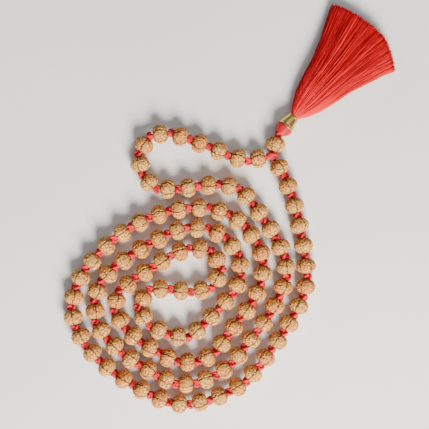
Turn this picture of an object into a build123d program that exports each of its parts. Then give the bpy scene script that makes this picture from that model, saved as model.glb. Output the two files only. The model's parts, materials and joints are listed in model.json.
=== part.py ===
"""A string of 108 grooved seed beads with a guru bead, a metal ferrule and a silk tassel, lying in a double spiral.

Millimetres. +Z is up, the beads and the tassel rest on z = 0, and the origin is under the middle of the whole string.
One red thread runs through every bead and is knotted between each pair of them. Both of its ends meet in the
binding knot under the guru bead. A doubled thread runs on from there through the guru bead and carries the tassel.

The closed string can be lifted in stretches: a stretch between two knots turns about the line through those knots,
which keeps the loop closed. Each such stretch is a group of nodes of its own, with its own thread.
"""
from build123d import *
import math
import os

# ---- driving dimensions ----------------------------------------------------------------------------------------
# Seed beads
bead_count = 108
bead_radius = 3.9            # across the thread
rim_share = 0.47             # where a mouth's rim lies between the bore's edge and the knot's seat radius
bore_clearance = 0.5         # between the thread and the bore's wall
groove_count = 5             # faces of the seed, with a groove between each pair
groove_radius = 0.4
groove_depth = 0.25
roll_step = 137.5            # turn of each bead about the thread, from one bead to the next, in degrees

# Thread and knots
thread_diameter = 1.0
knot_radius = 1.5
knot_clearance = 0.28        # between a knot and the mouth that it sits in
pivot_gap = 0.08             # between a knot and the thread of a body that turns about it
first_slack = 1.3            # thread between the binding knot's middle and the first bead's collar
last_slack = 0.9             # and between the last bead's collar and the binding knot's middle

# Guru bead and the doubled thread through it
guru_x = 18.4
guru_y = 25.4
guru_angle = 76.0            # direction of its bore, in degrees from +X
guru_thread_diameter = 0.9
guru_bore_clearance = 0.25
binding_swell = 0.4          # how much bigger the binding knot is than a knot between two beads
binding_gap = 0.5            # between the binding knot's middle and the place of a knot in the guru bead's mouth

# Tassel, with distances along its axis from the neck knot's centre
tassel_angle = 48.0          # in degrees from +X
head_start = 0.9
head_tip_radius = 1.6
head_lift = 0.5              # of the head's wide end over the surface that the string lies on
head_swell = 0.45            # how far the head's side stands out from a straight cone
head_bore_radius = 0.75
seam_distance = 4.2
ferrule_length = 5.4
seam_step = 0.1              # how much wider the ferrule is than the head at their seam
ferrule_mouth_radius = 2.1
ferrule_wall = 0.35
hanger_diameter = 1.2
stopper_radius = 1.3
root_clearance = 0.12        # between the strands' root and the ferrule's mouth
root_length = 2.3            # of the strands' root inside the ferrule
tie_wall = 0.25
tie_length = 0.9
skirt_length = 47.5
skirt_press = 0.5            # how much of the skirt's round underside is pressed flat

# Skirt sections: distance from the ferrule's mouth as a share of skirt_length, half width, half thickness
SKIRT = [
    (0.063, 3.9, 2.8),
    (0.185, 6.4, 3.6),
    (0.328, 8.2, 4.0),
    (0.442, 9.3, 4.0),
    (0.611, 12.1, 3.9),
    (0.779, 15.4, 3.7),
    (0.926, 18.6, 3.5),
    (1.032, 21.0, 3.3),
]

# The thread's route for beads of laid_bead_radius, from the binding knot round the string and back to it
laid_bead_radius = 3.9
middle_x = 1.2               # the middle of the whole string, in the route's own X and Y
middle_y = -0.5
ROUTE = [
    (16.6, 21.0), (6.5, 18.3), (-7.5, 24.0), (-20.5, 29.0), (-29.5, 30.2), (-36.0, 24.0), (-36.0, 15.0),
    (-30.7, 7.8), (-21.5, 7.2), (-8.5, 9.5), (4.0, 8.5), (11.5, -1.5), (20.1, -13.7), (23.5, -26.0),
    (18.5, -39.5), (9.2, -51.8), (0.0, -63.7), (-10.0, -69.2), (-20.5, -71.0), (-32.0, -65.4), (-44.5, -57.2),
    (-53.8, -47.0), (-54.0, -33.0), (-46.4, -23.7), (-32.5, -14.5), (-18.5, -7.5), (-4.5, -9.0), (4.3, -18.8),
    (4.6, -30.0), (-6.8, -43.2), (-16.5, -52.6), (-27.0, -49.8), (-35.0, -44.6), (-36.2, -36.4),
    (-29.5, -31.8), (-19.5, -33.4), (-10.0, -33.4), (-3.6, -28.0), (-4.3, -19.6), (-12.0, -15.8),
    (-21.0, -17.6), (-32.0, -24.5), (-41.0, -30.4), (-46.4, -37.0), (-44.3, -45.3), (-36.8, -53.3),
    (-20.0, -62.6), (-7.0, -60.0), (-0.1, -49.7), (8.4, -39.2), (13.1, -29.8), (13.6, -18.1), (4.4, -4.7),
    (-8.5, 0.5), (-22.0, -0.5), (-36.5, -5.5), (-49.5, -14.5), (-60.3, -28.0), (-64.0, -41.7),
    (-58.0, -55.2), (-48.0, -65.2), (-34.5, -73.5), (-21.5, -79.3), (-8.0, -77.3), (5.4, -71.0),
    (14.5, -60.0), (24.0, -46.5), (31.0, -33.0), (30.5, -19.0), (27.5, -5.5), (24.0, 8.0), (17.6, 20.6),
]
arc_share = 0.45             # share of the shorter run that each side of a corner's arc takes

# Stretches of the string: name, first and last bead, and whether a knot at each end belongs to the stretch.
# The lifting stretches hang on the knots of the ones that lie still.
LYING = [("upper", 15, 48), ("middle", 59, 79), ("left", 87, 90), ("right", 101, 104)]
LIFTING = [("inner_turn", 49, 58), ("outer_left", 80, 86), ("outer_bottom", 91, 100)]
GURU_LOOP_LEFT = (1, 14)     # from the binding knot
GURU_LOOP_RIGHT = (105, 108)  # to the binding knot

# Beads per node, where a node holds a group of them
GROUPS = {"upper": 7, "middle": 7, "left": 4, "right": 4, "inner_turn": 5, "outer_left": 4, "outer_bottom": 5}

thread_radius = thread_diameter / 2
bore_radius = thread_radius + bore_clearance
guru_bore_radius = guru_thread_diameter + guru_bore_clearance
axis_height = bead_radius    # the thread's height over the surface that the string lies on
seat_radius = knot_radius + knot_clearance
binding_radius = knot_radius + binding_swell
route_scale = bead_radius / laid_bead_radius
head_base_radius = axis_height - head_lift
ferrule_wide_radius = head_base_radius + seam_step


# ---- helpers ---------------------------------------------------------------------------------------------------
def flat(x, y):
    """The point on the thread's level for (x, y) in the route's own X and Y."""
    return Vector((x - middle_x) * route_scale, (y - middle_y) * route_scale, axis_height)


def heading(degrees):
    return Vector(math.cos(math.radians(degrees)), math.sin(math.radians(degrees)), 0)


def corner_radius(before, corner, after):
    """Radius of the arc that takes arc_share of the shorter of a corner's two runs."""
    half_turn = math.radians((corner - before).get_angle(after - corner)) / 2
    shorter = min((corner - before).length, (after - corner).length)
    return arc_share * shorter / math.tan(half_turn)


def along(axis_origin, direction):
    """A plane whose Z runs along direction, for a piece that is turned about the thread or the tassel's axis."""
    return Plane(origin=axis_origin, x_dir=direction.cross(Vector(0, 0, 1)), z_dir=direction)


def sphere_at(centre, radius):
    return Pos(*centre) * Sphere(radius)


def turned(points_and_arcs):
    """A closed profile in X (radius) and Z, given as its edges, turned once round Z."""
    return revolve(make_face(Wire(points_and_arcs)), Axis.Z)


def cylinder_between(a, b, radius):
    rod = Cylinder(radius, (b - a).length, align=(Align.CENTER, Align.CENTER, Align.MIN))
    return along(a, (b - a).normalized()).location * rod


# ---- the thread's path and the beads' places -------------------------------------------------------------------
corners = [flat(x, y) for x, y in ROUTE]
radii = [corner_radius(*corners[i - 1:i + 2]) for i in range(1, len(corners) - 1)]
print("route radii, mm:", " ".join(f"{r:.1f}" for r in radii))
strand = FilletPolyline(*corners, radius=radii)
bead_pitch = (strand.length - first_slack - last_slack) / bead_count
half_pitch = bead_pitch / 2
print(f"thread length {strand.length:.1f} mm, bead pitch {bead_pitch:.3f} mm")


def on_strand(distance):
    return strand.position_at(distance, position_mode=PositionMode.LENGTH)


mouth_depth = half_pitch - math.sqrt(seat_radius ** 2 - bore_radius ** 2)  # from a bead's middle to its bore's end
stations = [first_slack + half_pitch + k * bead_pitch for k in range(bead_count)]
bead_centre = {}
bead_axis = {}
for number, station in enumerate(stations, start=1):
    middle = on_strand(station)
    before = on_strand(station - mouth_depth)
    after = on_strand(station + mouth_depth)
    bead_centre[number] = (middle + (before + after) * 0.5) * 0.5  # halves the thread's sideways play in the bore
    bead_axis[number] = (after - before).normalized()

knot_centre = {}             # knot n sits between beads n and n + 1
for number in range(1, bead_count):
    from_before = bead_centre[number] + bead_axis[number] * half_pitch
    from_after = bead_centre[number + 1] - bead_axis[number + 1] * half_pitch
    knot_centre[number] = (from_before + from_after) * 0.5


# ---- seed beads ------------------------------------------------------------------------------------------------
def seed_bead(hole_radius):
    """A grooved seed with its bore along Z and a round seat for a knot in each mouth."""
    mouth = half_pitch - math.sqrt(seat_radius ** 2 - hole_radius ** 2)
    rim_x = hole_radius + rim_share * (seat_radius - hole_radius)
    rim_z = half_pitch - math.sqrt(seat_radius ** 2 - rim_x ** 2)
    # The round of the side, from rim to rim, is centred at offset from the bore
    depth = bead_radius - rim_x
    meridian_radius = (depth ** 2 + rim_z ** 2) / (2 * depth)
    offset = bead_radius - meridian_radius
    # A point of the seat between the bore's edge and the rim
    lean = 0.5 * (math.atan2(hole_radius, half_pitch - mouth) + math.atan2(rim_x, half_pitch - rim_z))
    seat_x = seat_radius * math.sin(lean)
    seat_z = half_pitch - seat_radius * math.cos(lean)
    body = turned([
        Edge.make_line((hole_radius, 0, -mouth), (hole_radius, 0, mouth)),
        Edge.make_three_point_arc((hole_radius, 0, mouth), (seat_x, 0, seat_z), (rim_x, 0, rim_z)),
        Edge.make_three_point_arc((rim_x, 0, rim_z), (bead_radius, 0, 0), (rim_x, 0, -rim_z)),
        Edge.make_three_point_arc((rim_x, 0, -rim_z), (seat_x, 0, -seat_z), (hole_radius, 0, -mouth)),
    ])
    track = meridian_radius + groove_radius - groove_depth
    groove_path = Edge.make_three_point_arc((offset, 0, -track), (offset + track, 0, 0), (offset, 0, track))
    groove_end = Plane(origin=(offset, 0, -track), z_dir=(1, 0, 0))
    groove = sweep(groove_end * Circle(groove_radius), path=groove_path)
    for k in range(groove_count):
        body = body - Rot(0, 0, k * 360 / groove_count) * groove
    return body


def place_bead(template, centre, axis, roll):
    return along(centre, axis).location * Rot(0, 0, roll) * template


seed = seed_bead(bore_radius)
print(f"bead: {2 * bead_radius:.1f} mm across, volume {seed.volume:.1f} mm3")


def beads(first, last):
    return [place_bead(seed, bead_centre[n], bead_axis[n], n * roll_step) for n in range(first, last + 1)]


# ---- guru bead, binding knot and neck --------------------------------------------------------------------------
guru_centre = flat(guru_x, guru_y)
guru_axis = heading(guru_angle)
binding_centre = guru_centre - guru_axis * (half_pitch + binding_gap)
neck_centre = guru_centre + guru_axis * half_pitch
guru_bead = place_bead(seed_bead(guru_bore_radius), guru_centre, guru_axis, 0)

left_collar = bead_centre[1] - bead_axis[1] * half_pitch
right_collar = bead_centre[bead_count] + bead_axis[bead_count] * half_pitch
binding_plane = Plane(origin=binding_centre, x_dir=guru_axis, z_dir=(0, 0, 1))
binding_knot = binding_plane.location * Sphere(binding_radius)
for collar in (left_collar, right_collar):
    # The collar's pole faces the middle of the knot, so the two spheres meet in one plain circle
    facing = along(collar, (binding_centre - collar).normalized())
    binding_knot = binding_knot + facing.location * Sphere(knot_radius)

twin_start = binding_centre + guru_axis * (binding_radius + pivot_gap)
twin_end = neck_centre - guru_axis * (knot_radius + pivot_gap)
twin_shift = Vector(0, 0, guru_thread_diameter / 2)
guru_thread = [
    cylinder_between(twin_start + shift, twin_end + shift, guru_thread_diameter / 2)
    for shift in (twin_shift, twin_shift * -1)
]
neck_knot = sphere_at(neck_centre, knot_radius)


# ---- tassel ----------------------------------------------------------------------------------------------------
tassel_axis = heading(tassel_angle)
tassel_frame = along(neck_centre, tassel_axis)
ferrule_end = seam_distance + ferrule_length


def ferrule_inside(distance):
    """The ferrule's inner radius at a distance from the neck knot."""
    share = (distance - seam_distance) / ferrule_length
    outside = ferrule_wide_radius + (ferrule_mouth_radius - ferrule_wide_radius) * share
    return outside - ferrule_wall


def ring(profile):
    return tassel_frame.location * turned(profile)


def closed_lines(points):
    ends = points[1:] + points[:1]
    return [Edge.make_line((r0, 0, z0), (r1, 0, z1)) for (r0, z0), (r1, z1) in zip(points, ends)]


head_middle_x = (head_tip_radius + head_base_radius) / 2 + head_swell
head_middle_z = (head_start + seam_distance) / 2
tassel_head = ring([
    Edge.make_line((head_bore_radius, 0, seam_distance), (head_bore_radius, 0, head_start)),
    Edge.make_line((head_bore_radius, 0, head_start), (head_tip_radius, 0, head_start)),
    Edge.make_three_point_arc(
        (head_tip_radius, 0, head_start), (head_middle_x, 0, head_middle_z), (head_base_radius, 0, seam_distance)
    ),
    Edge.make_line((head_base_radius, 0, seam_distance), (head_bore_radius, 0, seam_distance)),
])
tassel_head = tassel_head - sphere_at(neck_centre, seat_radius)

ferrule = ring(closed_lines([
    (ferrule_inside(seam_distance), seam_distance),
    (ferrule_wide_radius, seam_distance),
    (ferrule_mouth_radius, ferrule_end),
    (ferrule_inside(ferrule_end), ferrule_end),
]))

root_top = ferrule_end - root_length
root_radius = ferrule_inside(ferrule_end) - root_clearance
stopper_centre = neck_centre + tassel_axis * (root_top - stopper_radius)
hanger_start = neck_centre + tassel_axis * (seat_radius + pivot_gap)
hanger_cord = cylinder_between(hanger_start, stopper_centre, hanger_diameter / 2)
stopper_knot = sphere_at(stopper_centre, stopper_radius)
strand_tie = ring(closed_lines([
    (root_radius, root_top),
    (root_radius + tie_wall, root_top),
    (root_radius + tie_wall, root_top + tie_length),
    (root_radius, root_top + tie_length),
]))


def skirt_section(share, half_width, half_thickness):
    """A cross-section of the skirt, whose underside lies skirt_press below the surface until it is pressed flat."""
    level = min(axis_height, half_thickness - skirt_press)
    middle = neck_centre + tassel_axis * (ferrule_end + share * skirt_length)
    plane = Plane(origin=(middle.X, middle.Y, level), x_dir=tassel_axis.cross(Vector(0, 0, 1)), z_dir=tassel_axis)
    return plane * Ellipse(half_width, half_thickness)


mouth_centre = neck_centre + tassel_axis * ferrule_end
root = cylinder_between(neck_centre + tassel_axis * root_top, mouth_centre, root_radius)
mouth_section = along(mouth_centre, tassel_axis) * Circle(root_radius)
skirt_body = loft([mouth_section] + [skirt_section(*row) for row in SKIRT])
skirt_reach = Pos(mouth_centre.X, mouth_centre.Y, 0) * Cylinder(
    skirt_length, 4 * axis_height, align=(Align.CENTER, Align.CENTER, Align.MIN)
)
tassel_skirt = (skirt_body & skirt_reach) + root


# ---- nodes -----------------------------------------------------------------------------------------------------
def thread_between(start, end):
    """The thread's tube between two distances along the string."""
    path = strand.trim(start / strand.length, end / strand.length)
    section = Plane(origin=path @ 0, z_dir=path % 0) * Circle(thread_radius)
    tube = sweep(section, path=path)
    expected = math.pi * thread_radius ** 2 * path.length
    print(f"thread {start:.1f} to {end:.1f}: volume {tube.volume / expected:.4f} of section times length")
    return tube


def station_of_knot(number):
    return stations[number - 1] + half_pitch


nodes = {}
pull_back = knot_radius + pivot_gap
for name, first, last in LYING:
    nodes[f"thread_{name}"] = [thread_between(station_of_knot(first - 1), station_of_knot(last))]
for name, first, last in LIFTING:
    start = station_of_knot(first - 1) + pull_back
    end = station_of_knot(last) - pull_back
    nodes[f"thread_{name}"] = [thread_between(start, end)]
left_end = station_of_knot(GURU_LOOP_LEFT[1]) - pull_back
right_start = station_of_knot(GURU_LOOP_RIGHT[0] - 1) + pull_back
nodes["thread_guru_loop_left"] = [thread_between(0, left_end)]
nodes["thread_guru_loop_right"] = [thread_between(right_start, strand.length)]

lying_knots = [n for name, first, last in LYING for n in range(first - 1, last + 1)]
nodes["knots_lying"] = [sphere_at(knot_centre[n], knot_radius) for n in lying_knots]
for name, first, last in LIFTING:
    nodes[f"knots_{name}"] = [sphere_at(knot_centre[n], knot_radius) for n in range(first, last)]
guru_loop_knots = list(range(GURU_LOOP_LEFT[0], GURU_LOOP_LEFT[1])) + list(range(*GURU_LOOP_RIGHT))
nodes["knots_guru_loop"] = [sphere_at(knot_centre[n], knot_radius) for n in guru_loop_knots]

for name, first, last in LYING + LIFTING:
    size = GROUPS[name]
    for part, start in enumerate(range(first, last + 1, size), start=1):
        nodes[f"beads_{name}_{part}"] = beads(start, min(start + size - 1, last))
for first, last in (GURU_LOOP_LEFT, GURU_LOOP_RIGHT):
    for number in range(first, last + 1):
        nodes[f"bead_{number:03d}"] = beads(number, number)

nodes["binding_knot"] = [binding_knot]
nodes["guru_bead"] = [guru_bead]
nodes["guru_thread"] = guru_thread
nodes["neck_knot"] = [neck_knot]
nodes["tassel_head"] = [tassel_head]
nodes["ferrule"] = [ferrule]
nodes["hanger_cord"] = [hanger_cord]
nodes["stopper_knot"] = [stopper_knot]
nodes["strand_tie"] = [strand_tie]
nodes["tassel_skirt"] = [tassel_skirt]

os.makedirs("parts", exist_ok=True)
for name, pieces in nodes.items():
    solids = [solid for piece in pieces for solid in piece.solids()]
    export_step(solids[0] if len(solids) == 1 else Compound(children=solids), f"parts/{name}.step")
print(f"{len(nodes)} nodes")
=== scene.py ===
import json
import math
import random

import bpy
import numpy as np
from mathutils import Matrix, Vector, noise
from mathutils.bvhtree import BVHTree

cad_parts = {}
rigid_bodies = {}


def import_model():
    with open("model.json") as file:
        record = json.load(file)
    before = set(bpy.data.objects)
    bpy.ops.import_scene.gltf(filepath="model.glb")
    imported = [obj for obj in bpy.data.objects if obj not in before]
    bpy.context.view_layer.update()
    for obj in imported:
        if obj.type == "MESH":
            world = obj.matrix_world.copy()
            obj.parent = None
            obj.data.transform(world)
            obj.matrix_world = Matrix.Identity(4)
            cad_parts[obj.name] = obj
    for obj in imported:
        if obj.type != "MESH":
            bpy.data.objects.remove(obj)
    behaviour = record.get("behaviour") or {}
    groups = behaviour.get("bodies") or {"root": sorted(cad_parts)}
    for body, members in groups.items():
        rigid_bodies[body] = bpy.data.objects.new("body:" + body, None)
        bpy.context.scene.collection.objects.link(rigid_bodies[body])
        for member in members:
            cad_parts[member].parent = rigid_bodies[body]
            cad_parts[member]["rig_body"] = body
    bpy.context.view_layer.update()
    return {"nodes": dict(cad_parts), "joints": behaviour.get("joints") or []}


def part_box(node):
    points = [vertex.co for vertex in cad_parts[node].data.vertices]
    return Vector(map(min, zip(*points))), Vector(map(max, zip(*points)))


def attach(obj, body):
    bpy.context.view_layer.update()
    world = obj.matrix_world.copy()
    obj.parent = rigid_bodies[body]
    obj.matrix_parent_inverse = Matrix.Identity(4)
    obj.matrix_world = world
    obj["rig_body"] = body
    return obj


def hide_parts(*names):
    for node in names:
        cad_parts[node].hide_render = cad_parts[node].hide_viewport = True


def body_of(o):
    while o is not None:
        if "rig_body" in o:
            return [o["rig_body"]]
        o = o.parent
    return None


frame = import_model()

# Metres throughout, in the CAD frame: +Z up, everything resting on z = 0.
nodes = frame["nodes"]
joints = {joint["name"]: joint for joint in frame["joints"]}
MM = 0.001
UP = np.array([0.0, 0.0, 1.0])
FULL_TURN = 2 * math.pi
THREAD_LEVEL = 3.9 * MM
THREAD_RADIUS = 0.5 * MM

# ---- the thread's route, with the same points as the CAD thread's ----------------------------------------------
MIDDLE_X, MIDDLE_Y = 0.0012, -0.0005
ROUTE = [
    (0.0166, 0.0210), (0.0065, 0.0183), (-0.0075, 0.0240), (-0.0205, 0.0290), (-0.0295, 0.0302),
    (-0.0360, 0.0240), (-0.0360, 0.0150), (-0.0307, 0.0078), (-0.0215, 0.0072), (-0.0085, 0.0095),
    (0.0040, 0.0085), (0.0115, -0.0015), (0.0201, -0.0137), (0.0235, -0.0260), (0.0185, -0.0395),
    (0.0092, -0.0518), (0.0000, -0.0637), (-0.0100, -0.0692), (-0.0205, -0.0710), (-0.0320, -0.0654),
    (-0.0445, -0.0572), (-0.0538, -0.0470), (-0.0540, -0.0330), (-0.0464, -0.0237), (-0.0325, -0.0145),
    (-0.0185, -0.0075), (-0.0045, -0.0090), (0.0043, -0.0188), (0.0046, -0.0300), (-0.0068, -0.0432),
    (-0.0165, -0.0526), (-0.0270, -0.0498), (-0.0350, -0.0446), (-0.0362, -0.0364), (-0.0295, -0.0318),
    (-0.0195, -0.0334), (-0.0100, -0.0334), (-0.0036, -0.0280), (-0.0043, -0.0196), (-0.0120, -0.0158),
    (-0.0210, -0.0176), (-0.0320, -0.0245), (-0.0410, -0.0304), (-0.0464, -0.0370), (-0.0443, -0.0453),
    (-0.0368, -0.0533), (-0.0200, -0.0626), (-0.0070, -0.0600), (-0.0001, -0.0497), (0.0084, -0.0392),
    (0.0131, -0.0298), (0.0136, -0.0181), (0.0044, -0.0047), (-0.0085, 0.0005), (-0.0220, -0.0005),
    (-0.0365, -0.0055), (-0.0495, -0.0145), (-0.0603, -0.0280), (-0.0640, -0.0417), (-0.0580, -0.0552),
    (-0.0480, -0.0652), (-0.0345, -0.0735), (-0.0215, -0.0793), (-0.0080, -0.0773), (0.0054, -0.0710),
    (0.0145, -0.0600), (0.0240, -0.0465), (0.0310, -0.0330), (0.0305, -0.0190), (0.0275, -0.0055),
    (0.0240, 0.0080), (0.0176, 0.0206),
]


def spline_points(points):
    """Points along a NURBS spline of order 3 whose control points these are."""
    curve = bpy.data.curves.new("guide", "CURVE")
    curve.dimensions = "3D"
    curve.resolution_u = 24
    spline = curve.splines.new("NURBS")
    spline.points.add(len(points) - 1)
    for control, point in zip(spline.points, points):
        control.co = (*point, 1)
    spline.order_u = 3
    spline.use_endpoint_u = True
    holder = bpy.data.objects.new("guide", curve)
    mesh = bpy.data.meshes.new_from_object(holder)
    line = read(mesh.vertices, "co").reshape(-1, 3)
    bpy.data.objects.remove(holder)
    bpy.data.curves.remove(curve)
    bpy.data.meshes.remove(mesh)
    return line


def read(items, field, width=3, kind=np.float32):
    values = np.empty(len(items) * width, kind)
    items.foreach_get(field, values)
    return values.astype(float) if kind is np.float32 else values


def unit(vectors):
    return vectors / np.linalg.norm(vectors, axis=-1, keepdims=True)


def lengths_along(line):
    steps = np.linalg.norm(np.diff(line, axis=0), axis=1)
    return np.concatenate([[0], np.cumsum(steps)])


def evenly(line, spacing):
    """The same line with points at an even spacing."""
    along = lengths_along(line)
    count = max(8, int(round(along[-1] / spacing)) + 1)
    wanted = np.linspace(0, along[-1], count)
    return np.stack([np.interp(wanted, along, line[:, k]) for k in range(3)], axis=1)


def smoothstep(x, low, high):
    t = np.clip((x - low) / (high - low), 0, 1)
    return t * t * (3 - 2 * t)


# ---- camera, floor and light -----------------------------------------------------------------------------------
def place(item, location, target=None):
    thing = bpy.data.objects.new(item.name, item)
    thing.location = location
    if target is not None:
        thing.rotation_euler = (Vector(target) - Vector(location)).to_track_quat("-Z", "Y").to_euler()
    bpy.context.scene.collection.objects.link(thing)
    return thing


VIEW_CENTRE = (-0.00726, -0.00218)
VIEW_HEIGHT = 0.4052         # of an 85 mm lens over the beads' middles, for a picture 171.6 mm wide
lens = bpy.data.cameras.new("camera")
lens.lens = 85
lens.sensor_width = 36
lens.clip_start = 0.01
camera = place(lens, (*VIEW_CENTRE, THREAD_LEVEL + VIEW_HEIGHT))
bpy.context.scene.camera = camera

floor_mesh = bpy.data.meshes.new("floor")
FLOOR_REACH = 3.0
floor_mesh.from_pydata([(-FLOOR_REACH, -FLOOR_REACH, 0), (FLOOR_REACH, -FLOOR_REACH, 0),
                        (FLOOR_REACH, FLOOR_REACH, 0), (-FLOOR_REACH, FLOOR_REACH, 0)], [], [(0, 1, 2, 3)])
floor = place(floor_mesh, (0, 0, 0))


def softbox(name, location, size, power, colour=(1, 1, 1)):
    light = bpy.data.lights.new(name, "AREA")
    light.size = size
    light.energy = power
    light.color = colour
    return place(light, location, (0, 0, 0))


key = softbox("key_light", (0.2, -0.58, 0.5), 0.36, 22.5, (1, 0.95, 0.89))
fill = softbox("fill_light", (0.25, 0.35, 0.9), 0.9, 2.2, (0.95, 0.97, 1))
world = bpy.data.worlds.new("world")
world.use_nodes = True
world.node_tree.nodes["Background"].inputs["Color"].default_value = (0.9, 0.93, 1, 1)
world.node_tree.nodes["Background"].inputs["Strength"].default_value = 0.24
bpy.context.scene.world = world


# ---- materials -------------------------------------------------------------------------------------------------
def tint(red, green, blue):
    """A linear colour from its everyday 0-255 values."""
    return tuple(((c / 255 + 0.055) / 1.055) ** 2.4 if c > 10 else c / 3295 for c in (red, green, blue)) + (1,)


class Finish:
    """A material, with short names for the nodes that it is made of."""

    def __init__(self, name):
        self.material = bpy.data.materials.new(name)
        self.material.use_nodes = True
        self.tree = self.material.node_tree
        self.shader = self.tree.nodes["Principled BSDF"]

    def node(self, kind, inputs, **settings):
        made = self.tree.nodes.new(kind)
        for field, value in settings.items():
            setattr(made, field, value)
        for socket, value in inputs.items():
            if isinstance(value, bpy.types.NodeSocket):
                self.tree.links.new(value, made.inputs[socket])
            else:
                made.inputs[socket].default_value = value
        return made

    def value(self, name):
        return self.node("ShaderNodeAttribute", {}, attribute_name=name).outputs["Fac"]

    def place(self):
        return self.node("ShaderNodeTexCoord", {}).outputs["Object"]

    def noise(self, vector, scale, detail=3.0, roughness=0.55):
        inputs = {"Vector": vector, "Scale": scale, "Detail": detail, "Roughness": roughness}
        return self.node("ShaderNodeTexNoise", inputs).outputs["Fac"]

    def cells(self, vector, scale, feature="F1"):
        inputs = {"Vector": vector, "Scale": scale}
        return self.node("ShaderNodeTexVoronoi", inputs, feature=feature).outputs["Distance"]

    def warped(self, vector, scale, reach):
        """The vector pushed about by a noise of that scale, by up to about reach."""
        inputs = {"Vector": vector, "Scale": scale, "Detail": 2.0}
        push = self.node("ShaderNodeTexNoise", inputs).outputs["Color"]
        push = self.node("ShaderNodeVectorMath", {0: push, 1: (0.5, 0.5, 0.5)}, operation="SUBTRACT").outputs[0]
        push = self.node("ShaderNodeVectorMath", {0: push, "Scale": 2 * reach}, operation="SCALE").outputs[0]
        return self.node("ShaderNodeVectorMath", {0: vector, 1: push}, operation="ADD").outputs[0]

    def calc(self, operation, a, b=0.0):
        return self.node("ShaderNodeMath", {0: a, 1: b}, operation=operation).outputs[0]

    def spread(self, x, low, high, to_low=0.0, to_high=1.0):
        inputs = {"Value": x, "From Min": low, "From Max": high, "To Min": to_low, "To Max": to_high}
        return self.node("ShaderNodeMapRange", inputs, interpolation_type="SMOOTHSTEP").outputs["Result"]

    def mix(self, share, a, b, blend="MIX"):
        made = self.node("ShaderNodeMix", {}, data_type="RGBA", blend_type=blend)
        for socket, value in ((0, share), (6, a), (7, b)):
            if isinstance(value, bpy.types.NodeSocket):
                self.tree.links.new(value, made.inputs[socket])
            else:
                made.inputs[socket].default_value = value
        return made.outputs[2]

    def vector(self, x, y, z=0.0):
        return self.node("ShaderNodeCombineXYZ", {0: x, 1: y, 2: z}).outputs[0]

    def bump(self, height, strength, distance, under=None):
        inputs = {"Height": height, "Strength": strength, "Distance": distance}
        if under is not None:
            inputs["Normal"] = under
        return self.node("ShaderNodeBump", inputs).outputs["Normal"]

    def finish(self, **sockets):
        names = {"colour": "Base Color", "roughness": "Roughness", "normal": "Normal", "metallic": "Metallic",
                 "sheen": "Sheen Weight", "sheen_roughness": "Sheen Roughness", "coat": "Coat Weight",
                 "coat_roughness": "Coat Roughness", "specular": "Specular IOR Level",
                 "anisotropic": "Anisotropic", "subsurface": "Subsurface Weight"}
        for key_name, value in sockets.items():
            socket = self.shader.inputs[names[key_name]]
            if isinstance(value, bpy.types.NodeSocket):
                self.tree.links.new(value, socket)
            else:
                socket.default_value = value
        return self.material


def floor_finish():
    f = Finish("floor_paper")
    grain = f.noise(f.place(), 900, 4)
    cloud = f.noise(f.place(), 6, 2)
    colour = f.mix(f.spread(cloud, 0.3, 0.7), tint(232, 231, 228), tint(238, 237, 234))
    colour = f.mix(f.spread(grain, 0.35, 0.75, 0, 0.25), colour, tint(222, 221, 218))
    return f.finish(colour=colour, roughness=f.spread(grain, 0.3, 0.7, 0.8, 0.9), specular=0.2,
                    normal=f.bump(grain, 0.15, 0.0002))


def seed_finish():
    """Dry tan seed with brown pits and seams, each bead of its own tone. Furrows, cracks and bore are darkened partly
    in the seed's own brown and partly with painted shade, and painted shade darkens it towards the mouths.
    """
    f = Finish("seed_shell")
    where = f.place()
    mottle = f.noise(where, 900, 4, 0.6)
    fine = f.noise(where, 4200, 5, 0.65)
    pits = f.cells(where, 1700)
    seams = f.cells(f.warped(where, 1300, 0.0007), 900, "DISTANCE_TO_EDGE")
    tone = f.value("tone")
    colour = f.mix(tone, tint(250, 166, 82), tint(255, 190, 102))
    colour = f.mix(f.spread(mottle, 0.45, 0.7, 0, 0.45), colour, tint(198, 116, 52))
    colour = f.mix(f.spread(fine, 0.5, 0.68, 0, 0.5), colour, tint(255, 216, 144))
    colour = f.mix(f.spread(pits, 0.14, 0.3, 0.6, 0), colour, tint(120, 62, 26))
    colour = f.mix(f.spread(seams, 0.01, 0.11, 0.85, 0), colour, tint(104, 48, 24))
    # Furrows, cracks and the bore's inside darkened: partly the seed's own browner furrows, partly painted shade in
    # these recesses.
    colour = f.mix(f.spread(f.value("recess_tint_and_shade"), 0.3, 0.95, 0, 0.88), colour, tint(84, 40, 22))
    # Painted shade towards the mouths, at each end of the bore.
    colour = f.mix(f.spread(f.value("mouth_shade"), 0.72, 1.05, 0, 0.5), colour, tint(112, 68, 40))
    normal = f.bump(fine, 0.5, 0.00012)
    normal = f.bump(pits, 0.5, 0.00012, normal)
    normal = f.bump(f.spread(seams, 0, 0.2), 0.8, 0.00018, normal)
    return f.finish(colour=colour, roughness=f.spread(mottle, 0.3, 0.7, 0.5, 0.72), specular=0.2, normal=normal)


def thread_finish(name, deep_and_furrow_shade, body, light, roughness, sheen, coat=0.0):
    """Twisted thread: fibres run along each ply, and the furrows between plies are darkened with painted shade."""
    f = Finish(name)
    along = f.calc("MULTIPLY", f.value("along"), 900.0)
    around = f.calc("MULTIPLY", f.value("around"), 9.0)
    fibres = f.noise(f.vector(along, around), 2.2, 3, 0.6)
    patches = f.noise(f.place(), 500, 2)
    colour = f.mix(f.spread(patches, 0.35, 0.65), body, light)
    colour = f.mix(f.spread(fibres, 0.35, 0.7, 0, 0.6), colour, deep_and_furrow_shade)
    # Painted shade: the furrows between the plies are darkened towards the deep colour.
    colour = f.mix(f.spread(f.value("furrow"), 0.3, 1.0, 0, 0.8), colour, deep_and_furrow_shade)
    return f.finish(colour=colour, roughness=f.spread(fibres, 0.3, 0.7, roughness, roughness + 0.15), sheen=sheen,
                    sheen_roughness=0.4, coat=coat, coat_roughness=0.3, specular=0.4,
                    normal=f.bump(fibres, 0.5, 0.00008))


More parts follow.
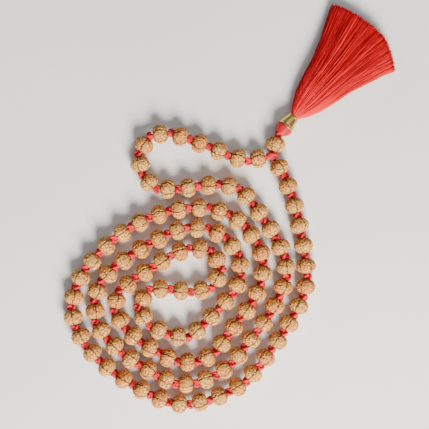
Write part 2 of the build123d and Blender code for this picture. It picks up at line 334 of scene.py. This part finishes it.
def brass_finish():
    f = Finish("ferrule_brass")
    where = f.place()
    along = f.value("along")
    lines = f.noise(f.vector(f.calc("MULTIPLY", along, 26000.0), f.value("around")), 1.0, 2)
    wear = f.noise(where, 700, 4)
    colour = f.mix(f.spread(wear, 0.35, 0.7), tint(226, 190, 112), tint(206, 164, 84))
    colour = f.mix(f.spread(f.value("furrow"), 0.2, 1.0, 0, 0.7), colour, tint(110, 76, 30))
    roughness = f.calc("ADD", f.spread(wear, 0.3, 0.7, 0.2, 0.32), f.spread(lines, 0.3, 0.7, 0, 0.08))
    return f.finish(colour=colour, metallic=1.0, roughness=roughness, normal=f.bump(lines, 0.25, 0.00004))


def silk_finish():
    """Silk floss: coral by the mouth and deeper red along the skirt, in streaks that follow the strands, with painted
    highlight flecks, strongest by the mouth, and painted shade on the skirt's left side.
    """
    f = Finish("tassel_silk")
    share = f.value("share")
    tone = f.value("tone")
    flecks = f.noise(f.vector(f.calc("MULTIPLY", share, 60.0), f.calc("MULTIPLY", tone, 90.0)), 1.0, 3, 0.6)
    colour = f.mix(f.spread(share, 0.0, 0.55), tint(236, 4, 26), tint(198, 0, 16))
    colour = f.mix(f.spread(tone, 0.0, 0.6, 0.8, 0), colour, tint(122, 0, 8))
    colour = f.mix(f.spread(tone, 0.84, 1.0, 0, 0.45), colour, tint(255, 44, 50))
    # Painted highlights: light flecks along the strands, stronger by the mouth.
    painted_highlight_share = f.spread(share, 0.0, 0.7, 0.7, 0.25)
    colour = f.mix(f.calc("MULTIPLY", f.spread(flecks, 0.52, 0.68), painted_highlight_share), colour, tint(255, 70, 78))
    # Painted shade: the strands of the skirt's left side are darker.
    colour = f.mix(f.calc("MULTIPLY", f.value("left"), 0.45), colour, tint(140, 0, 10))
    return f.finish(colour=colour, roughness=f.spread(flecks, 0.3, 0.7, 0.36, 0.52), sheen=0.08,
                    sheen_roughness=0.3, specular=0.2, normal=f.bump(flecks, 0.3, 0.00005))


floor_mesh.materials.append(floor_finish())
SEED = seed_finish()
RED = thread_finish("red_cotton_thread", tint(120, 0, 14), tint(214, 8, 30), tint(236, 34, 52), 0.6, 0.1)
HEAD_SILK = thread_finish("head_silk_thread", tint(110, 0, 16), tint(206, 2, 28), tint(226, 14, 40), 0.28, 0.02, 0.3)
BRASS = brass_finish()
SILK = silk_finish()


# ---- meshes ----------------------------------------------------------------------------------------------------
def piece(name, points, quads, values, material, slot, covers):
    """A smooth mesh that stands for the CAD nodes in covers and moves with the first one's body."""
    mesh = bpy.data.meshes.new(name)
    mesh.vertices.add(len(points))
    mesh.vertices.foreach_set("co", points.astype(np.float32).ravel())
    mesh.loops.add(quads.size)
    mesh.loops.foreach_set("vertex_index", quads.astype(np.int32).ravel())
    mesh.polygons.add(len(quads))
    mesh.polygons.foreach_set("loop_start", np.arange(0, quads.size, 4, dtype=np.int32))
    mesh.update(calc_edges=True)
    mesh.polygons.foreach_set("use_smooth", np.ones(len(quads), bool))
    for key_name, value in values.items():
        layer = mesh.attributes.new(key_name, "FLOAT", "POINT")
        layer.data.foreach_set("value", np.asarray(value, np.float32))
    mesh.materials.append(material)
    made = bpy.data.objects.new(name, mesh)
    bpy.context.scene.collection.objects.link(made)
    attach(made, body_of(nodes[covers[0]])[0])
    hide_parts(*covers)
    return made


def grid_quads(rows, columns, wrap_rows=False):
    """Quads of a grid whose columns close round. Rows close too where wrap_rows is set."""
    last = rows if wrap_rows else rows - 1
    i, j = np.meshgrid(np.arange(last), np.arange(columns), indexing="ij")
    a = i * columns + j
    b = i * columns + (j + 1) % columns
    c = (i + 1) % rows * columns + (j + 1) % columns
    d = (i + 1) % rows * columns + j
    return np.stack([a, b, c, d], axis=-1).reshape(-1, 4)


def joined(parts):
    """One set of points, quads and values out of several."""
    offset = 0
    points, quads, values = [], [], {}
    for p, q, v in parts:
        points.append(p)
        quads.append(q + offset)
        offset += len(p)
        for key_name, value in v.items():
            values.setdefault(key_name, []).append(value)
    return np.concatenate(points), np.concatenate(quads), {k: np.concatenate(v) for k, v in values.items()}


def carried_frames(line):
    """A side direction at each point of one line, carried along it without twist."""
    tangent = unit(np.gradient(line, axis=0))
    guess = UP if abs(tangent[0][2]) < 0.9 else np.array([1.0, 0.0, 0.0])
    side = [unit(np.cross(tangent[0], guess))]
    for direction in tangent[1:]:
        carried = side[-1] - direction * side[-1].dot(direction)
        side.append(unit(carried))
    return tangent, np.array(side)


def rope(line, radius, sides=18, plies=3, lay=3.2 * MM, depth=0.16, closed_ends=True):
    """Twisted thread along one line: plies lobes in its section, which turn once round in each length of lay."""
    tangent, side = carried_frames(line)
    rise = np.cross(tangent, side)
    along = lengths_along(line)
    angle = np.linspace(0, FULL_TURN, sides, endpoint=False)
    turn = along[:, None] / lay * FULL_TURN
    lobe = np.abs(np.cos(plies * (angle[None] - turn) / 2))
    size = radius * (1 - depth * (1 - lobe) ** 2 * 2.2)
    if closed_ends:
        size[0] *= 0.05
        size[-1] *= 0.05
    spokes = np.cos(angle)[None, :, None] * side[:, None] + np.sin(angle)[None, :, None] * rise[:, None]
    points = line[:, None] + spokes * size[..., None]
    values = {
        "along": np.repeat(along, sides),
        "around": np.tile(angle, len(line)) - np.repeat(turn[:, 0], sides),
        "furrow": ((1 - lobe) ** 2).ravel(),
    }
    return points.reshape(-1, 3), grid_quads(len(line), sides), values


# ---- the solids in the CAD nodes, for the places of the beads and knots ------------------------------------------
CELL = 0.3 * MM              # vertices this close belong to one solid
path = evenly(spline_points([(x - MIDDLE_X, y - MIDDLE_Y, THREAD_LEVEL) for x, y in ROUTE]), 0.3 * MM)
path_direction = unit(np.gradient(path, axis=0))


def heading_near(point):
    return path_direction[np.argmin(((path - point) ** 2).sum(axis=1))]


def solids_in(name):
    """The centre of each solid of a CAD node and the direction of its shortest axis, pointing along the thread."""
    mesh = nodes[name].data
    points = read(mesh.vertices, "co").reshape(-1, 3)
    mesh.calc_loop_triangles()
    triangles = read(mesh.loop_triangles, "vertices", 3, np.int32).reshape(-1, 3)
    cells, cell_of = np.unique(np.floor(points / CELL).astype(int), axis=0, return_inverse=True)
    corner = cell_of.ravel()[triangles]
    links = np.unique(np.concatenate([corner[:, :2], corner[:, 1:]]), axis=0)
    group = np.arange(len(cells))
    while True:
        low = group[links].min(axis=1)
        merged = group.copy()
        np.minimum.at(merged, links[:, 0], low)
        np.minimum.at(merged, links[:, 1], low)
        merged = merged[merged]
        if (merged == group).all():
            break
        group = merged
    owner = group[corner[:, 0]]
    a, b, c = (points[triangles[:, k]] for k in range(3))
    area = np.linalg.norm(np.cross(b - a, c - a), axis=1)
    middle = (a + b + c) / 3
    found = []
    for k in np.unique(owner):
        weight, spots = area[owner == k], middle[owner == k]
        centre = np.average(spots, axis=0, weights=weight)
        spread = (spots - centre) * np.sqrt(weight / weight.sum())[:, None]
        axis = np.linalg.eigh(spread.T @ spread)[1][:, 0]
        if axis.dot(heading_near(centre)) < 0:
            axis = -axis
        found.append((centre, axis))
    return found


# ---- threads ---------------------------------------------------------------------------------------------------
NEAR_THREAD = 1.3 * MM       # from the path to a CAD thread's surface, where the two are the same stretch
END_TRIM = 1.2 * MM
for name in sorted(n for n in nodes if n.startswith("thread_")):
    mesh = nodes[name].data
    surface = BVHTree.FromPolygons([v.co for v in mesh.vertices], [p.vertices for p in mesh.polygons])
    near = np.array([surface.find_nearest(point)[3] < NEAR_THREAD for point in path])
    starts = np.flatnonzero(np.diff(np.concatenate([[0], near.astype(int)])) == 1)
    ends = np.flatnonzero(np.diff(np.concatenate([near.astype(int), [0]])) == -1) + 1
    start, end = max(zip(starts, ends), key=lambda run: run[1] - run[0])
    stretch = path[start:end]
    along = lengths_along(stretch)
    stretch = stretch[(along > END_TRIM) & (along < along[-1] - END_TRIM)]
    thread = piece(name + "_plied", *rope(stretch, THREAD_RADIUS), RED, "red_thread", [name])


# ---- seed beads ------------------------------------------------------------------------------------------------
BEAD_RADIUS = 3.95 * MM
RIM_RADIUS = 1.4 * MM        # of a mouth
RIM_Z = 2.96 * MM
MOUTH_Z = 2.6 * MM           # where the mouth's dish reaches the bore
BORE_RADIUS = 0.95 * MM
GURU_BORE_RADIUS = 1.12 * MM
GROOVES = 5
SEED_KINDS = 9
ROUND_STEPS, SIDE_STEPS = ((116, 58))


def seed_mesh(draw, bore_radius):
    """One seed with its bore along Z: five wandering furrows, warty lobes between them and a dished mouth at each end.
    Grid rows run from rim to rim over the side and back through the bore."""
    offset_in = BEAD_RADIUS - RIM_RADIUS
    side_radius = (offset_in ** 2 + RIM_Z ** 2) / (2 * offset_in)
    offset = BEAD_RADIUS - side_radius
    reach = math.atan2(RIM_Z, RIM_RADIUS - offset)
    lean = np.linspace(-reach, reach, SIDE_STEPS)
    side = np.stack([offset + side_radius * np.cos(lean), side_radius * np.sin(lean)], axis=1)
    outward = np.stack([np.cos(lean), np.sin(lean)], axis=1)
    dish = np.array([(RIM_RADIUS * 0.93, RIM_Z - 0.02 * MM), (bore_radius * 1.18, MOUTH_Z + 0.12 * MM),
                     (bore_radius, MOUTH_Z - 0.1 * MM), (bore_radius, 0.5 * MOUTH_Z), (bore_radius, 0)])
    inside = np.concatenate([dish, (dish * [1, -1])[-2::-1]])
    profile = np.concatenate([side, inside])
    outward = np.concatenate([outward, np.zeros_like(inside)])
    angle = np.linspace(0, FULL_TURN, ROUND_STEPS, endpoint=False)
    shift = Vector([draw.uniform(-50, 50) for _ in range(3)])
    starts = [k * FULL_TURN / GROOVES + draw.uniform(-0.12, 0.12) for k in range(GROOVES)]
    squash = [draw.uniform(0.965, 1.0), draw.uniform(0.965, 1.0)]
    points = np.empty((len(profile), ROUND_STEPS, 3))
    recess_tint_and_shade = np.zeros((len(profile), ROUND_STEPS))
    for i, (radius, z) in enumerate(profile):
        on_side = i < SIDE_STEPS
        taper = math.cos(lean[i] / reach * math.pi / 2) ** 0.35 if on_side else 0
        for j, phi in enumerate(angle):
            spot = Vector((radius * math.cos(phi), radius * math.sin(phi), z)) / MM
            if on_side:
                wander = 0.13 * noise.noise(spot * 0.9 + shift)
                gap = min(abs((phi - s + wander + math.pi) % FULL_TURN - math.pi) for s in starts) * radius / MM
                furrow = math.exp(-(gap / 0.2) ** 2)
                bank = math.exp(-((gap - 0.62) / 0.35) ** 2)
                warped = spot + 0.35 * noise.noise_vector(spot * 1.1 + shift)
                near, second = noise.voronoi(warped * 0.92 + shift)[0][:2]
                crack = 1 - min(1, max(0, (second - near) / 0.28))
                lobe = noise.noise(spot * 0.45 + shift)
                grit = noise.fractal(spot * 2.4 + shift, 0.9, 2.0, 3)
                raise_mm = (0.1 * lobe + 0.08 * grit + 0.06 * bank - 0.36 * furrow - 0.24 * crack ** 1.5) * taper
                # How recessed the point is, for a darkening that is partly the seed's own colour and partly painted
                # shade.
                recess_tint_and_shade[i, j] = min(1, furrow + 0.8 * crack ** 1.5 + max(0, -0.5 * grit))
                r = radius + outward[i][0] * raise_mm * MM
                h = z + outward[i][1] * raise_mm * MM
            else:
                r = radius * (1 + 0.03 * noise.noise(spot + shift))
                h = z
                # Painted shade: the inside of the bore is darkened as a full recess.
                recess_tint_and_shade[i, j] = 0.9
            points[i, j] = r * math.cos(phi) * squash[0], r * math.sin(phi) * squash[1], h
    # Share of the way from the middle to a mouth, for the painted shade towards the mouths.
    mouth_shade = np.repeat(np.abs(profile[:, 1]) / RIM_Z, ROUND_STEPS)
    return points.reshape(-1, 3), grid_quads(len(profile), ROUND_STEPS, True), recess_tint_and_shade.ravel(), mouth_shade


draw = random.Random(108)
kinds = [seed_mesh(draw, BORE_RADIUS) for _ in range(SEED_KINDS)]
guru_kind = seed_mesh(draw, GURU_BORE_RADIUS)


def turned_to(axis, roll):
    """Rows are the X, Y and Z of a piece whose Z runs along axis."""
    side = unit(np.cross(axis, UP))
    rise = np.cross(axis, side)
    return np.array([side * math.cos(roll) + rise * math.sin(roll), rise * math.cos(roll) - side * math.sin(roll), axis])


def seed_at(kind, centre, axis):
    points, quads, recess_tint_and_shade, mouth_shade = kind
    if draw.random() < 0.5:
        turn = turned_to(-axis, draw.uniform(0, FULL_TURN))
    else:
        turn = turned_to(axis, draw.uniform(0, FULL_TURN))
    tone = np.full(len(points), draw.random())
    return points @ turn + centre, quads, {"recess_tint_and_shade": recess_tint_and_shade, "mouth_shade": mouth_shade, "tone": tone}


for name in sorted(n for n in nodes if n.startswith("bead")):
    seeds = [seed_at(draw.choice(kinds), centre, axis) for centre, axis in solids_in(name)]
    piece(name + "_seed", *joined(seeds), SEED, "seed", [name])
guru_centre, guru_axis = (np.array(joints["guru_bead_spin"][key_name]) for key_name in ("pos_m", "axis"))
piece("guru_seed", *joined([seed_at(guru_kind, guru_centre, guru_axis)]), SEED, "seed", ["guru_bead"])


# ---- knots -----------------------------------------------------------------------------------------------------
KNOT_STEPS = 110
KNOT_SIDES = 12


def knot_at(centre, axis, width, length, strand):
    """A pulled-tight overhand knot, width across and length along the thread, laid at a roll and lean of its own."""
    t = np.linspace(0, FULL_TURN, KNOT_STEPS)
    across = (width / 2 - strand) / 3
    high = length / 2 - strand
    line = np.stack([across * (np.sin(t) + 2 * np.sin(2 * t)), across * (np.cos(t) - 2 * np.cos(2 * t)),
                     -high * np.sin(3 * t)], axis=1)
    lean = draw.uniform(-0.3, 0.3)
    line = line @ np.array([[math.cos(lean), 0, math.sin(lean)], [0, 1, 0], [-math.sin(lean), 0, math.cos(lean)]])
    line = line @ turned_to(axis, draw.uniform(0, FULL_TURN)) + centre
    return rope(line, strand, KNOT_SIDES, 3, 2.4 * MM, 0.18, False)


for name in sorted(n for n in nodes if n.startswith("knots_")):
    lumps = [knot_at(centre, heading_near(centre), draw.uniform(3.9, 4.3) * MM, draw.uniform(2.7, 3.1) * MM, 0.62 * MM)
             for centre, axis in solids_in(name)]
    piece(name + "_tied", *joined(lumps), RED, "red_thread", [name])


def coil(spine, radius, strand, pitch, start_turn=0.0):
    """Thread wound round a spine, as one rope."""
    along = lengths_along(spine)
    turns = along[-1] / pitch
    count = int(turns * (26)) + 1
    wanted = np.linspace(0, along[-1], count)
    base = np.stack([np.interp(wanted, along, spine[:, k]) for k in range(3)], axis=1)
    tangent, side = carried_frames(base)
    rise = np.cross(tangent, side)
    turn = wanted / pitch * FULL_TURN + start_turn
    size = np.interp(wanted, along, radius) if np.ndim(radius) else np.full(count, radius)
    line = base + (np.cos(turn) * size)[:, None] * side + (np.sin(turn) * size)[:, None] * rise
    return rope(line, strand, KNOT_SIDES, 3, 2.4 * MM, 0.18)


# The binding knot: both ends of the string wrapped together from the first bead's mouth to the last one's
binding_centre = np.array(joints["guru_lift"]["pos_m"])
ends = [solids_in(name)[0] for name in ("bead_001", "bead_108")]
HALF_PITCH = 4.1 * MM
collars = [ends[0][0] - ends[0][1] * HALF_PITCH, ends[1][0] + ends[1][1] * HALF_PITCH]
spine = evenly(spline_points([collars[0] - (binding_centre - collars[0]) * 0.35, collars[0], binding_centre,
                              collars[1], collars[1] + (collars[1] - binding_centre) * 0.35]), 0.2 * MM)
share = np.linspace(0, 1, len(spine))
girth = (0.75 + 0.55 * np.sin(math.pi * share) ** 0.8) * MM
wrap = [coil(spine, girth, 0.55 * MM, 0.98 * MM), rope(spine, 0.95 * MM, 18, 3, 4 * MM, 0.1)]
across = unit(np.cross(guru_axis, UP))
over = [binding_centre + across * (1.7 * MM * math.cos(a)) + UP * (1.85 * MM * math.sin(a)) + guru_axis * 0.35 * MM
        for a in np.linspace(-0.4, math.pi + 0.4, 40)]
wrap.append(rope(np.array(over), 0.55 * MM, KNOT_SIDES, 3, 2.4 * MM, 0.18))
wrap.append(knot_at(binding_centre + guru_axis * 0.5 * MM, guru_axis, 3.9 * MM, 2.7 * MM, 0.58 * MM))
piece("binding_wrap", *joined(wrap), RED, "red_thread", ["binding_knot"])

# The doubled thread through the guru bead, and the neck knot beyond it
neck_centre = np.array(joints["tassel_swing"]["pos_m"])
low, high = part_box("guru_thread")
reach_a = binding_centre + guru_axis * 1.7 * MM
reach_b = neck_centre - guru_axis * 1.3 * MM
pair_line = np.linspace(reach_a, reach_b, 40)
twins = []
for turn_start in (0, math.pi):
    turn = np.linspace(0, math.pi, 40) + turn_start
    offset = 0.42 * MM * (np.sin(turn)[:, None] * np.cross(guru_axis, UP) + np.cos(turn)[:, None] * UP)
    twins.append(rope(pair_line + offset, 0.43 * MM, 14, 3, 2.6 * MM))
piece("guru_thread_pair", *joined(twins), RED, "red_thread", ["guru_thread"])
piece("neck_knot_tied", *joined([knot_at(neck_centre, guru_axis, 3.5 * MM, 2.6 * MM, 0.55 * MM)]), RED,
      "red_thread", ["neck_knot"])


# ---- tassel ----------------------------------------------------------------------------------------------------
lift_axis = np.array(joints["tassel_lift"]["axis"])
tassel_axis = unit(np.cross(UP, lift_axis))
tassel_left = np.cross(UP, tassel_axis)
SEAM = 4.2 * MM              # along the tassel's axis from the neck knot's centre
FERRULE_LENGTH = 5.4 * MM
MOUTH = SEAM + FERRULE_LENGTH
WIDE_RADIUS = 3.5 * MM
MOUTH_RADIUS = 2.1 * MM
WALL = 0.35 * MM


def lathe(profile, steps, values=None):
    """A closed profile of (radius, distance along the tassel's axis), turned round it."""
    profile = np.array(profile)
    angle = np.linspace(0, FULL_TURN, steps, endpoint=False)
    spokes = np.cos(angle)[:, None] * tassel_left + np.sin(angle)[:, None] * UP
    points = neck_centre + profile[:, 1, None, None] * tassel_axis + profile[:, 0, None, None] * spokes
    along = np.repeat(profile[:, 1], steps)
    furrow = np.repeat(values, steps) if values is not None else np.zeros(len(along))
    return points.reshape(-1, 3), grid_quads(len(profile), steps, True), \
        {"along": along, "around": np.tile(angle, len(profile)), "furrow": furrow}


# Head: silk thread wound round a domed core
HEAD_TIP = 0.75 * MM
HEAD_TIP_RADIUS = 1.85 * MM
HEAD_BASE_RADIUS = 3.4 * MM
SWELL = 0.45 * MM
WINDING = 0.15 * MM          # radius of the wound thread
dome_z = np.linspace(HEAD_TIP, SEAM, 60)
dome_share = (dome_z - HEAD_TIP) / (SEAM - HEAD_TIP)
dome_radius = HEAD_TIP_RADIUS + (HEAD_BASE_RADIUS - HEAD_TIP_RADIUS) * np.sin(dome_share * math.pi / 2) ** 0.75 \
    + SWELL * 0.5 * np.sin(math.pi * dome_share)
core = [(0.8 * MM, SEAM), (0.8 * MM, HEAD_TIP + 0.4 * MM)] + \
    [(r - 1.2 * WINDING, z) for r, z in zip(dome_radius[::4], dome_z[::4])] + [(HEAD_BASE_RADIUS - 0.3 * MM, SEAM)]
dome_spine = neck_centre + dome_z[:, None] * tassel_axis
dome_length = lengths_along(np.stack([dome_radius, dome_z, 0 * dome_z], axis=1))
even = np.interp(np.linspace(0, dome_length[-1], 400), dome_length, np.arange(60))
even_z = np.interp(even, np.arange(60), dome_z)
even_r = np.interp(even, np.arange(60), dome_radius)
wound_turns = dome_length[-1] / (1.9 * WINDING)
turn = np.linspace(0, wound_turns * FULL_TURN, int(wound_turns * (44)))
step = np.linspace(0, 399, len(turn))
wound_r = np.interp(step, np.arange(400), even_r)
wound_z = np.interp(step, np.arange(400), even_z)
wound = neck_centre + wound_z[:, None] * tassel_axis \
    + (wound_r * np.cos(turn))[:, None] * tassel_left + (wound_r * np.sin(turn))[:, None] * UP
lip = [neck_centre + tassel_axis * (HEAD_TIP + 0.05 * MM) + (1.6 * MM) * (math.cos(a) * tassel_left + math.sin(a) * UP)
       for a in np.linspace(0, FULL_TURN, 60)]
head_parts = [lathe(core, 64), rope(wound, WINDING, 8, 2, 0.9 * MM, 0.1),
              rope(np.array(lip), 0.34 * MM, 12, 3, 1.2 * MM, 0.15, False)]
piece("head_winding", *joined(head_parts), HEAD_SILK, "head_thread", ["tassel_head"])

# Ferrule: turned brass with a rolled edge at each end and two fine turned rings
outer, furrow = [], []
for s in np.linspace(0, 1, 90):
    radius = WIDE_RADIUS + (MOUTH_RADIUS - WIDE_RADIUS) * s
    radius += 0.1 * MM * math.exp(-((s - 0.045) / 0.035) ** 2) + 0.1 * MM * math.exp(-((s - 0.95) / 0.04) ** 2)
    ring = math.exp(-((s - 0.13) / 0.012) ** 2) + math.exp(-((s - 0.17) / 0.012) ** 2)
    ring += math.exp(-((s - 0.87) / 0.012) ** 2)
    outer.append((radius - 0.05 * MM * ring, SEAM + 0.03 * MM + s * (FERRULE_LENGTH - 0.06 * MM)))
    furrow.append(min(1, ring))
inner = [(radius - WALL, z) for radius, z in outer[::-6]]
ferrule_parts = [lathe(outer + inner, 112, np.array(furrow + [0.4] * len(inner)))]
piece("ferrule_turned", *joined(ferrule_parts), BRASS, "ferrule_metal", ["ferrule"])

# Inside the ferrule: the hanger, its stopper knot and the tie round the strands' root
root_top = MOUTH - 2.3 * MM
hanger = np.linspace(neck_centre + tassel_axis * 1.9 * MM, neck_centre + tassel_axis * (root_top - 1.3 * MM), 30)
piece("hanger_thread", *joined([rope(hanger, 0.58 * MM, 14)]), RED, "red_thread", ["hanger_cord"])
stopper = knot_at(neck_centre + tassel_axis * (root_top - 1.3 * MM), tassel_axis, 2.5 * MM, 2.5 * MM, 0.45 * MM)
piece("stopper_tied", *joined([stopper]), RED, "red_thread", ["stopper_knot"])
tie_turn = np.linspace(0, 4 * FULL_TURN, 160)
tie = neck_centre + (root_top + 0.1 * MM + tie_turn / (4 * FULL_TURN) * 0.7 * MM)[:, None] * tassel_axis \
    + 1.74 * MM * (np.cos(tie_turn)[:, None] * tassel_left + np.sin(tie_turn)[:, None] * UP)
piece("tie_wound", *joined([rope(tie, 0.12 * MM, 8, 2, 0.8 * MM)]), RED, "red_thread", ["strand_tie"])

# Skirt: silk strands that fan out from the mouth. Distance from the mouth, half width, half thickness, in mm
SKIRT = np.array([(-2.2, 1.5, 1.5), (0, 1.62, 1.62), (3.0, 3.9, 2.8), (8.8, 6.7, 3.6), (15.6, 8.7, 4.0),
                  (21.0, 9.9, 4.0), (29.0, 12.7, 3.9), (37.0, 16.0, 3.7), (44.0, 19.3, 3.5), (49.0, 21.8, 3.3)]) * MM
PRESS = 0.5 * MM             # how far the round underside is pressed flat
LONGEST = 47.9 * MM
SHORT_SIDE = 3.0 * MM        # how much shorter the strands of the right side are
STRANDS = 2200
STRAND_POINTS = 26
STRAND_SIDES = 5
LOCKS = 70
SKIRT_PIECES = 4
grain = np.random.default_rng(48)
lock_angle = grain.uniform(0, FULL_TURN, LOCKS)
lock_reach = np.sqrt(grain.uniform(0, 1, LOCKS))
lock_tone = grain.uniform(0, 1, LOCKS)
lock = grain.integers(0, LOCKS, STRANDS)
place_u = lock_reach[lock] * np.cos(lock_angle[lock]) + grain.normal(0, 0.17, STRANDS)
place_v = lock_reach[lock] * np.sin(lock_angle[lock]) + grain.normal(0, 0.13, STRANDS)
loose = grain.random(STRANDS) < 0.72
free_angle, free_reach = grain.uniform(0, FULL_TURN, STRANDS), np.sqrt(grain.uniform(0, 1, STRANDS))
place_u = np.where(loose, free_reach * np.cos(free_angle), place_u)
place_v = np.where(loose, free_reach * np.sin(free_angle), place_v)
beyond = np.maximum(1, np.hypot(place_u, place_v) / 0.985)
place_u, place_v = place_u / beyond, place_v / beyond
tone = np.clip(0.65 * lock_tone[lock] + 0.35 * grain.random(STRANDS), 0, 1)
tone = np.where(loose, grain.random(STRANDS), tone)

dense = np.linspace(-2.2 * MM, 49 * MM, 160)
half_width = np.interp(dense, SKIRT[:, 0], SKIRT[:, 1])
half_thick = np.interp(dense, SKIRT[:, 0], SKIRT[:, 2])
level = np.minimum(THREAD_LEVEL, half_thick - PRESS)
level = np.where(dense < 0, THREAD_LEVEL, level)
level = THREAD_LEVEL + (level - THREAD_LEVEL) * smoothstep(dense, 0, 12 * MM)
wave = grain.uniform(0, FULL_TURN, (STRANDS, 2))
wave_size = grain.uniform(0.05, 0.32, (STRANDS, 1)) * MM
opening = smoothstep(dense, 2 * MM, 30 * MM)[None]
side = place_u[:, None] * half_width[None]
side += wave_size * opening * np.sin(dense[None] / (9 * MM) * 2 + wave[:, :1])
flick = smoothstep(dense, 36 * MM, 48 * MM)[None] * smoothstep(-place_u, 0.6, 1.0)[:, None]
side -= 0.9 * MM * flick
height = level[None] + place_v[:, None] * half_thick[None]
height += wave_size * 0.6 * opening * np.sin(dense[None] / (7 * MM) * 2 + wave[:, 1:])
LOWEST = 0.16 * MM
height = np.where(height < 0.8 * MM, LOWEST + (0.8 * MM - LOWEST) * np.exp((height - 0.8 * MM) / (0.64 * MM)), height)
bearing = np.degrees(np.arctan2(side, np.maximum(dense[None], 1 * MM)))
cut = LONGEST - SHORT_SIDE * smoothstep(-bearing, 6, 25) + grain.normal(0, 0.22, (STRANDS, 1)) * MM
inside_cut = np.hypot(side, np.maximum(dense[None], 0)) < cut
last = inside_cut.shape[1] - 1 - np.argmax(inside_cut[:, ::-1], axis=1)
lines = np.empty((STRANDS, STRAND_POINTS, 3))
share_along = np.linspace(0, 1, STRAND_POINTS) ** 0.9
for k in range(STRANDS):
    at = share_along * last[k]
    d = np.interp(at, np.arange(160), dense)
    s = np.interp(at, np.arange(160), side[k])
    h = np.interp(at, np.arange(160), height[k])
    lines[k] = neck_centre + (MOUTH + d)[:, None] * tassel_axis + s[:, None] * tassel_left
    lines[k][:, 2] = h


def strand_tubes(rows, tones, left_shade_shares):
    """Fine silk strands, one tube to each line of rows."""
    tangent = unit(np.gradient(rows, axis=1))
    across = unit(np.cross(tangent, UP))
    rise = np.cross(across, tangent)
    angle = np.linspace(0, FULL_TURN, STRAND_SIDES, endpoint=False)
    size = np.interp(np.linspace(0, 1, STRAND_POINTS), [0, 0.1, 0.5, 0.985, 1], [0.07, 0.1, 0.14, 0.15, 0.02]) * MM
    size = size[None, :] * grain.uniform(0.75, 1.25, (len(rows), 1))
    spokes = np.cos(angle)[:, None] * across[:, :, None] + np.sin(angle)[:, None] * rise[:, :, None]
    points = rows[:, :, None] + spokes * size[:, :, None, None]
    quads = grid_quads(STRAND_POINTS, STRAND_SIDES)
    quads = (quads[None] + np.arange(len(rows))[:, None, None] * STRAND_POINTS * STRAND_SIDES).reshape(-1, 4)
    per_strand = STRAND_POINTS * STRAND_SIDES
    share = np.tile(np.repeat(np.linspace(0, 1, STRAND_POINTS), STRAND_SIDES), len(rows))
    values = {"share": share, "tone": np.repeat(tones, per_strand), "left": np.repeat(left_shade_shares, per_strand)}
    return points.reshape(-1, 3), quads, values


# How far each strand lies towards the skirt's left edge, for the painted shade there.
left_shade_share = smoothstep(place_u, 0.45, 1.0)
order = np.argsort(place_u)
for k, members in enumerate(np.array_split(order, SKIRT_PIECES), start=1):
    tubes = strand_tubes(lines[members], tone[members], left_shade_share[members])
    piece(f"tassel_strands_{k}", *tubes, SILK, "tassel_silk", ["tassel_skirt"])
